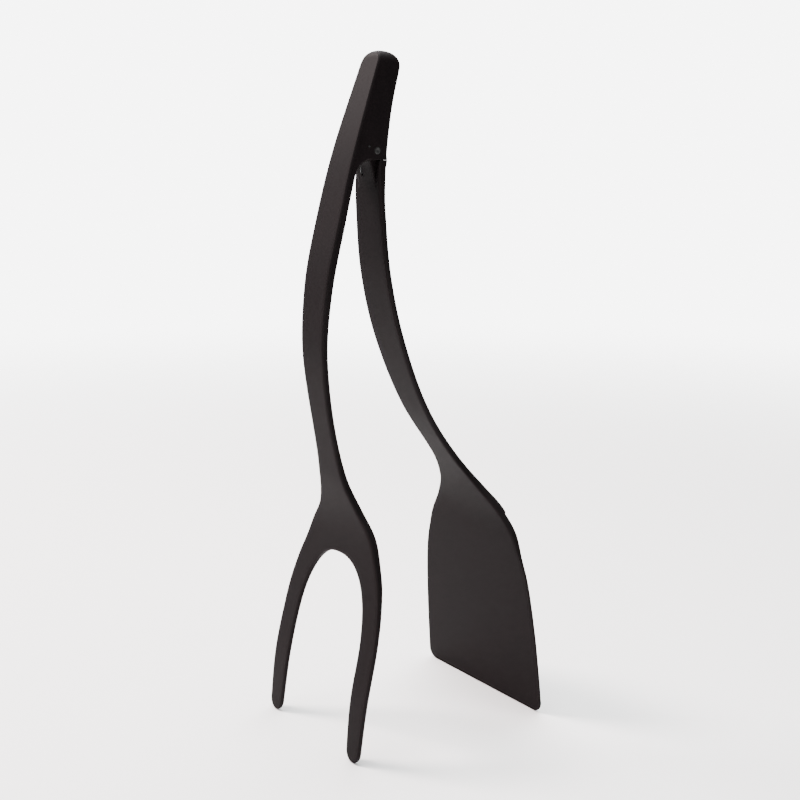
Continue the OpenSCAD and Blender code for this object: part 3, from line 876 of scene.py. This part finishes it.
def make_blade_arm():
    s = sizes()
    t = Tongs(s)
    z_join = s.neck_h + 32 * MM
    reach = [ARCH_R + d * MM for d in (-0.2, 0.05, 0.3, 0.55, 0.8, 1.05)]
    centre = s.step_h - ARCH_DROP
    extra = [(r * math.sin(a), centre + r * math.cos(a)) for r in reach for a in steps(-0.42, 0.42, 0.012)]
    shell = Shell()
    front_plate(shell, blade_path(t, z_join), t.blade_face, t.blade_depth, s.edge_r, 1.9 * MM, extra,
                lambda y, z: z > 20 * MM and -1.1 * MM < t.step_reach(y, z) < 2 * MM)
    path = arm_top_path(t, z_join)
    crisp = HINGE.z - s.cheek_drop - 3 * MM
    radii = [s.edge_r + (CRISP_R - s.edge_r) * smooth((z - crisp) / (2 * MM)) for _, z in path]
    slope = math.hypot(1, lean(t.blade_face, z_join))
    side_plate(shell, path, lambda z: curve(t.blade_half, z), radii, MM, slope)
    arm = shell.piece("blade_arm_moulding")
    combine(arm, knuckle(t), "UNION")
    _, _, coil_half = coil_turn(s.wire_d)
    slot = coil_half + s.wire_d / 2 + 0.3 * MM
    bore = COIL_R + s.wire_d / 2 + 0.25 * MM
    combine(arm, cylinder("coil_room", HINGE.x, HINGE.z, bore, -slot, slot), "DIFFERENCE")
    left, right, low, high = HINGE.x - 8 * MM, HINGE.x + MM, HINGE.z - MM, HINGE.z + 7 * MM
    room = [(left, low), (left, high), (right, high), (right, low)]
    combine(arm, block("coil_slot", room, -slot, slot), "DIFFERENCE")
    combine(arm, cylinder("bore", HINGE.x, HINGE.z, PIN_R + 0.05 * MM, -CUT, CUT), "DIFFERENCE")
    seat, (start, _) = leg_seat(s.wire_d), leg_start(s.wire_d)
    w = s.wire_d / 2 + 0.12 * MM
    front = -12 * MM
    ends = [(start.x + w, start.y), (seat.x + w, seat.y), (seat.x + w, seat.y - MM),
            (front, seat.y - MM), (front, start.y)]
    groove = [(HINGE.x + x, HINGE.z + z) for x, z in ends]
    combine(arm, block("leg_groove", groove, coil_half - w, coil_half + w), "DIFFERENCE")
    finish_surface(arm, nylon())
    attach(arm, "blade_side")
    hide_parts("spatula_arm")


def make_hinge_pin():
    """A ground pin with chamfered ends, each dished a little where it was swaged."""
    r, half = PIN_R, HEAD_HALF
    chamfer = 0.25 * MM
    outline = [(0.0, half - 0.12 * MM), (r * 0.3, half - 0.11 * MM), (r * 0.5, half - 0.04 * MM),
               (r * 0.62, half), (r - chamfer, half), (r - chamfer * 0.35, half - chamfer * 0.2),
               (r, half - chamfer)]
    outline += [(r, y) for y in steps(half - chamfer, -half + chamfer, MM)[1:-1]]
    outline += [(out, -y) for out, y in reversed(outline[:7])]
    shell = Shell()
    turns = [2 * math.pi * i / 64 for i in range(64)]
    shell.sheet([[(HINGE.x + out * math.cos(a), y, HINGE.z + out * math.sin(a)) for out, y in outline]
                 for a in turns], closed=True)
    pin = shell.piece("hinge_pin_ground")
    finish_surface(pin, steel_material("blackened steel", finishes().steel, 0.33, HINGE, True), 30)
    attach(pin, "fork_side")
    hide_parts("hinge_pin")


def wire_tree(material):
    """Sweeps a round wire along a path; wire diameter and sides are inputs."""
    tree = bpy.data.node_groups.new("wire along a path", "GeometryNodeTree")
    face = tree.interface
    face.new_socket("Path", in_out="INPUT", socket_type="NodeSocketGeometry")
    diameter = face.new_socket("Wire diameter", in_out="INPUT", socket_type="NodeSocketFloat")
    sides = face.new_socket("Sides", in_out="INPUT", socket_type="NodeSocketInt")
    face.new_socket("Wire", in_out="OUTPUT", socket_type="NodeSocketGeometry")
    node, link = tree.nodes.new, tree.links.new
    given, result = node("NodeGroupInput"), node("NodeGroupOutput")
    line, ring = node("GeometryNodeMeshToCurve"), node("GeometryNodeCurvePrimitiveCircle")
    sweep = node("GeometryNodeCurveToMesh")
    half, paint = node("ShaderNodeMath"), node("GeometryNodeSetMaterial")
    realize = node("GeometryNodeRealizeInstances")
    half.operation = "MULTIPLY"
    half.inputs[1].default_value = 0.5
    paint.inputs["Material"].default_value = material
    sweep.inputs["Fill Caps"].default_value = True
    link(given.outputs["Path"], line.inputs["Mesh"])
    link(given.outputs["Wire diameter"], half.inputs[0])
    link(half.outputs[0], ring.inputs["Radius"])
    link(given.outputs["Sides"], ring.inputs["Resolution"])
    link(line.outputs["Curve"], sweep.inputs["Curve"])
    link(ring.outputs["Curve"], sweep.inputs["Profile Curve"])
    link(sweep.outputs["Mesh"], realize.inputs["Geometry"])
    link(realize.outputs["Geometry"], paint.inputs["Geometry"])
    link(paint.outputs["Geometry"], result.inputs["Wire"])
    return tree, diameter.identifier, sides.identifier


def wire_line(wire_d):
    """Middle line of the spring: hook in the cheek, the coil round the axis, and the pushing leg."""
    start, sweep, half = coil_turn(wire_d)
    bend_r = 0.7 * MM
    hook = HOOK_R * Vector((math.cos(HOOK_ANGLE), math.sin(HOOK_ANGLE)))
    inwards = (hook - COIL_R * Vector((math.cos(start), math.sin(start)))).normalized()
    line = [(hook.x, y, hook.y) for y in steps(-HEAD_HALF + 0.1 * MM, -half - bend_r, 0.5 * MM)]
    for i in range(1, 7):
        a = math.pi / 2 * i / 6
        p = hook - inwards * bend_r * (1 - math.cos(a))
        line.append((p.x, -half - bend_r * (1 - math.sin(a)), p.y))
    for a in steps(0, sweep, math.radians(9)):
        line.append((COIL_R * math.cos(start + a), -half + 2 * half * a / sweep, COIL_R * math.sin(start + a)))
    leg, seat = leg_start(wire_d)[0], leg_seat(wire_d)
    line += [(p.x, half, p.y) for p in (leg.lerp(seat, i / 8) for i in range(1, 9))]
    return [Vector((x, y, z)) + Vector((HINGE.x, 0, HINGE.z)) for x, y, z in line]


def make_torsion_spring():
    s = sizes()
    line = wire_line(s.wire_d)
    mesh = bpy.data.meshes.new("torsion_spring_wire")
    mesh.from_pydata(line, [(i, i + 1) for i in range(len(line) - 1)], [])
    spring = bpy.data.objects.new("torsion_spring_wire", mesh)
    bpy.context.scene.collection.objects.link(spring)
    material = steel_material("drawn wire", finishes().wire, 0.27, HINGE, False)
    tree, diameter, sides = wire_tree(material)
    sweep = spring.modifiers.new("wire", "NODES")
    sweep.node_group = tree
    sweep[diameter] = s.wire_d
    sweep[sides] = 20
    settle(spring)
    finish_surface(spring, material, 50)
    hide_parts("torsion_spring")
    half = coil_turn(s.wire_d)[2]
    -half
    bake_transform(spring)


# ---------- studio ----------

AIM = Vector((-0.9 * MM, 0.0, 141.7 * MM))
VIEW_TURN = math.radians(35.1)
VIEW_DROP = math.radians(10.5)
VIEW_AWAY = 0.529
LENS = 55.1
BRIGHT_SIDE = (0.60, 0.80, 0.0)           # points away from the camera
DIM, BRIGHT = 0.40, 7.0                   # strength of the cove in front of the tongs and behind them
DIM_TO, BRIGHT_FROM = 0.42, 0.90          # where the change begins and ends, as the cosine to the bright side
SOLID_TO, CLEAR_FROM = 0.35, 1.5          # metres from the tongs where the floor begins and ends its fade


def aimed(thing, place, target):
    thing.location = place
    thing.rotation_euler = (target - place).to_track_quat("-Z", "Y").to_euler()
    bpy.context.scene.collection.objects.link(thing)


def softbox(name, place, target, width, height, power, tint=(1, 1, 1)):
    lamp = bpy.data.lights.new(name, "AREA")
    lamp.shape = "RECTANGLE"
    lamp.size = width
    lamp.size_y = height
    lamp.energy = power
    lamp.color = tint
    aimed(bpy.data.objects.new(name, lamp), Vector(place), target)


def make_world():
    """A white cove that is bright behind the tongs and dim on the side that the camera stands on."""
    world = bpy.data.worlds.new("studio")
    world.use_nodes = True
    nodes, links = world.node_tree.nodes, world.node_tree.links
    back = nodes["Background"]
    spot, dot, ramp = (nodes.new(kind) for kind in (
        "ShaderNodeTexCoord", "ShaderNodeVectorMath", "ShaderNodeMapRange"))
    dot.operation = "DOT_PRODUCT"
    dot.inputs[1].default_value = BRIGHT_SIDE
    ramp.interpolation_type = "SMOOTHSTEP"
    for key, value in (("From Min", DIM_TO), ("From Max", BRIGHT_FROM), ("To Min", DIM), ("To Max", BRIGHT)):
        ramp.inputs[key].default_value = value
    links.new(spot.outputs["Generated"], dot.inputs[0])
    links.new(dot.outputs["Value"], ramp.inputs["Value"])
    links.new(ramp.outputs["Result"], back.inputs["Strength"])
    back.inputs["Color"].default_value = (1.0, 1.0, 1.0, 1.0)
    bpy.context.scene.world = world


def make_stage():
    mesh = bpy.data.meshes.new("studio_floor")
    wide = 6.0
    corners = [(-wide, -wide, 0), (wide, -wide, 0), (wide, wide, 0), (-wide, wide, 0)]
    mesh.from_pydata(corners, [], [(0, 1, 2, 3)])
    floor = bpy.data.objects.new("studio_floor", mesh)
    bpy.context.scene.collection.objects.link(floor)
    p = Paint("pale floor")
    shade = p.noise(p.place(), 9, 2.0)
    away = p.node("ShaderNodeVectorMath", {"operation": "LENGTH"}, [p.place()], output=1)
    fade = p.node("ShaderNodeMapRange", {"interpolation_type": "SMOOTHSTEP"},
                  [away, SOLID_TO, CLEAR_FROM, 1.0, 0.0])
    mesh.materials.append(p.set(Base_Color=p.mix(shade, rgba(finishes().floor, 0.985), rgba(finishes().floor)),
                                Roughness=0.9, Alpha=fade))
    make_world()
    softbox("key", (-0.52, 0.72, 1.05), AIM, 0.4, 0.4, 46, (1.0, 0.88, 0.86))
    softbox("top", (0.1, 0.2, 1.5), AIM, 1.0, 1.0, 52)
    look = Vector((math.sin(VIEW_TURN) * math.cos(VIEW_DROP), math.cos(VIEW_TURN) * math.cos(VIEW_DROP),
                   -math.sin(VIEW_DROP)))
    eye = bpy.data.cameras.new("camera")
    eye.lens = LENS
    eye.sensor_width = 36
    eye.clip_start = 0.01
    camera = bpy.data.objects.new("camera", eye)
    aimed(camera, AIM - look * VIEW_AWAY, AIM)
    bpy.context.scene.camera = camera


# ---------- operators and panel ----------

class TONGS_OT_stage(bpy.types.Operator):
    """Make the studio floor, the lights and the camera"""
    bl_idname = "tongs.stage"
    bl_label = "Studio"

    def execute(self, context):
        make_stage()
        return {"FINISHED"}


class TONGS_OT_fork_arm(bpy.types.Operator):
    """Mould the fork arm with its head and hollow"""
    bl_idname = "tongs.fork_arm"
    bl_label = "Fork Arm"

    def execute(self, context):
        make_fork_arm()
        return {"FINISHED"}


class TONGS_OT_blade_arm(bpy.types.Operator):
    """Mould the blade arm with its knuckle"""
    bl_idname = "tongs.blade_arm"
    bl_label = "Blade Arm"

    def execute(self, context):
        make_blade_arm()
        return {"FINISHED"}


class TONGS_OT_hinge_pin(bpy.types.Operator):
    """Turn the steel hinge pin"""
    bl_idname = "tongs.hinge_pin"
    bl_label = "Hinge Pin"

    def execute(self, context):
        make_hinge_pin()
        return {"FINISHED"}


class TONGS_OT_torsion_spring(bpy.types.Operator):
    """Wind the torsion spring"""
    bl_idname = "tongs.torsion_spring"
    bl_label = "Torsion Spring"

    def execute(self, context):
        make_torsion_spring()
        return {"FINISHED"}


class TONGS_PT_panel(bpy.types.Panel):
    """Lists the pieces, sizes and finishes of the tongs"""
    bl_idname = "TONGS_PT_panel"
    bl_label = "Fork and Turner Tongs"
    bl_space_type = "VIEW_3D"
    bl_region_type = "UI"
    bl_category = "Tongs"

    def draw(self, context):
        for group in (context.scene.tongs_sizes, context.scene.tongs_finishes):
            column = self.layout.column(align=True)
            for name in group.__annotations__:
                column.prop(group, name)
        for operator in OPERATORS:
            self.layout.operator(operator.bl_idname)


OPERATORS = (TONGS_OT_stage, TONGS_OT_fork_arm, TONGS_OT_blade_arm, TONGS_OT_hinge_pin, TONGS_OT_torsion_spring)
CLASSES = (TongsSizes, TongsFinishes) + OPERATORS + (TONGS_PT_panel,)


def register():
    for c in CLASSES:
        bpy.utils.register_class(c)
    bpy.types.Scene.tongs_sizes = bpy.props.PointerProperty(type=TongsSizes)
    bpy.types.Scene.tongs_finishes = bpy.props.PointerProperty(type=TongsFinishes)


def unregister():
    del bpy.types.Scene.tongs_finishes
    del bpy.types.Scene.tongs_sizes
    for c in reversed(CLASSES):
        bpy.utils.unregister_class(c)


def main():
    register()
    bpy.ops.tongs.stage()
    bpy.ops.tongs.fork_arm()
    bpy.ops.tongs.blade_arm()
    bpy.ops.tongs.hinge_pin()
    bpy.ops.tongs.torsion_spring()


if __name__ == "__main__":
    main()
